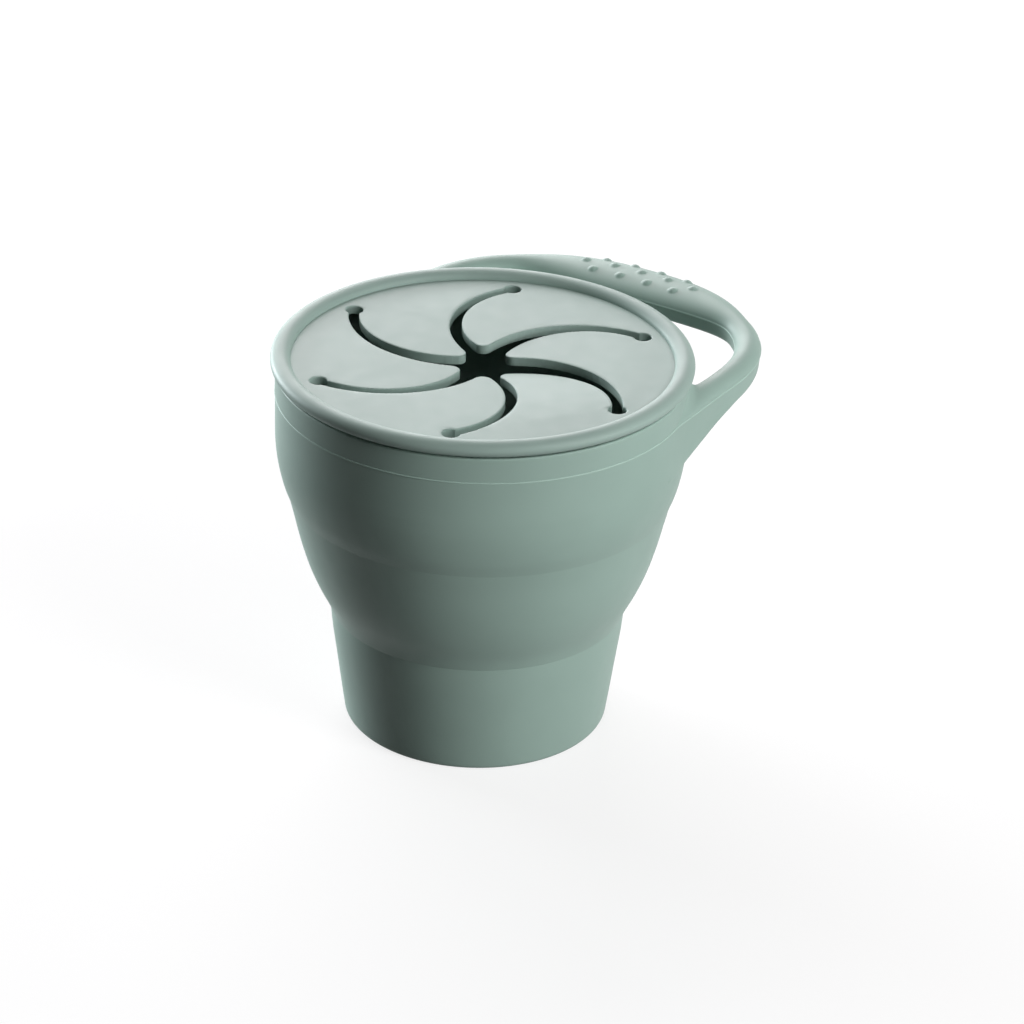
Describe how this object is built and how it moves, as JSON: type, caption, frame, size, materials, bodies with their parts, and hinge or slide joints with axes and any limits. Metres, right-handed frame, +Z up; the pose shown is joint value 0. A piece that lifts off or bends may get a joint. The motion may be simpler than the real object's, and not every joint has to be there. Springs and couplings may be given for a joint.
{
  "type": "toddler snack container",
  "caption": "Collapsible soft cup with a round carry loop and a push-on lid whose curved petals let a small hand reach in but keep snacks from spilling.",
  "frame": {"origin": "middle of the flat underside of the base cup, on the cup axis", "axes": "+Z up along the cup axis, +X towards the middle of the carry loop"},
  "size_m": [0.1202, 0.092, 0.0879],
  "materials": {
    "cup_silicone": "matte",
    "lid_silicone": "matte"
  },
  "bodies": {
    "base": {"base_cup": "cup_silicone"},
    "fold": {"fold_wall": "cup_silicone"},
    "upper": {"upper_band": "cup_silicone", "carry_handle": "cup_silicone"},
    "lid": {"lid_rim": "lid_silicone"},
    "petal_1": {"petal_1": "lid_silicone"},
    "petal_2": {"petal_2": "lid_silicone"},
    "petal_3": {"petal_3": "lid_silicone"},
    "petal_4": {"petal_4": "lid_silicone"},
    "petal_5": {"petal_5": "lid_silicone"},
    "petal_6": {"petal_6": "lid_silicone"}
  },
  "joints": [
    {"name": "collapse", "type": "slide", "parent": "base", "child": "upper", "axis": [0, 0, -1], "range_m": [0, 0.042], "deforming": ["fold_wall"]},
    {"name": "fold_follow", "type": "slide", "parent": "base", "child": "fold", "axis": [0, 0, -1], "range_m": [0, 0.021]},
    {"name": "lid_lift", "type": "slide", "parent": "upper", "child": "lid", "axis": [0, 0, 1], "range_m": [0, 0.03]},
    {"name": "petal_1_flex", "type": "hinge", "parent": "lid", "child": "petal_1", "pos_m": [0.01966, 0.02563, 0.08505], "axis": [0.7934, -0.6088, 0], "range_deg": [-35, 60], "stiffness_Nm_per_rad": 0.01},
    {"name": "petal_2_flex", "type": "hinge", "parent": "lid", "child": "petal_2", "pos_m": [-0.01236, 0.02984, 0.08505], "axis": [0.9239, 0.3827, 0], "range_deg": [-35, 60], "stiffness_Nm_per_rad": 0.01},
    {"name": "petal_3_flex", "type": "hinge", "parent": "lid", "child": "petal_3", "pos_m": [-0.03203, 0.00422, 0.08505], "axis": [0.1305, 0.9914, 0], "range_deg": [-35, 60], "stiffness_Nm_per_rad": 0.01},
    {"name": "petal_4_flex", "type": "hinge", "parent": "lid", "child": "petal_4", "pos_m": [-0.01966, -0.02563, 0.08505], "axis": [-0.7934, 0.6088, 0], "range_deg": [-35, 60], "stiffness_Nm_per_rad": 0.01},
    {"name": "petal_5_flex", "type": "hinge", "parent": "lid", "child": "petal_5", "pos_m": [0.01236, -0.02984, 0.08505], "axis": [-0.9239, -0.3827, 0], "range_deg": [-35, 60], "stiffness_Nm_per_rad": 0.01},
    {"name": "petal_6_flex", "type": "hinge", "parent": "lid", "child": "petal_6", "pos_m": [0.03203, -0.00422, 0.08505], "axis": [-0.1305, -0.9914, 0], "range_deg": [-35, 60], "stiffness_Nm_per_rad": 0.01}
  ],
  "couplings": [
    {"joint": "fold_follow", "follows": "collapse", "ratio": 0.5}
  ]
}
